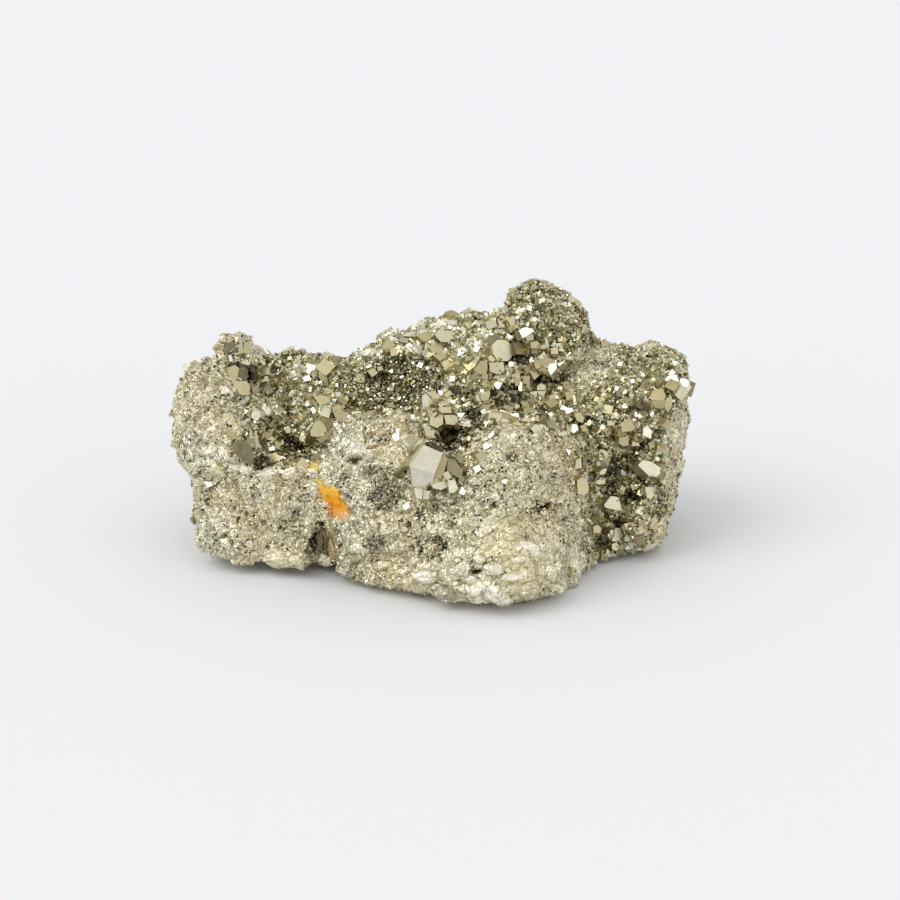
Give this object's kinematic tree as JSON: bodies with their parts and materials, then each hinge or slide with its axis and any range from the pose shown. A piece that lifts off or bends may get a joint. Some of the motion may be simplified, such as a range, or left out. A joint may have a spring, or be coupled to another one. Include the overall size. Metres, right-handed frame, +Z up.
{
  "type": "pyrite specimen",
  "caption": "Hand-sized lump of massive pyrite with flat-faced crystals on its crest and in its hollows, resting on its flat base.",
  "frame": {"origin": "centre of the bounding box, at the level of the base", "axes": "+Z up, the front faces -Y, the longest extent lies along X"},
  "size_m": [0.1089, 0.0719, 0.0542],
  "materials": {
    "pyrite": "metallic lustre, granular rock with bright crystal faces"
  },
  "bodies": {
    "root": {"pyrite": "pyrite"}
  },
  "joints": []
}
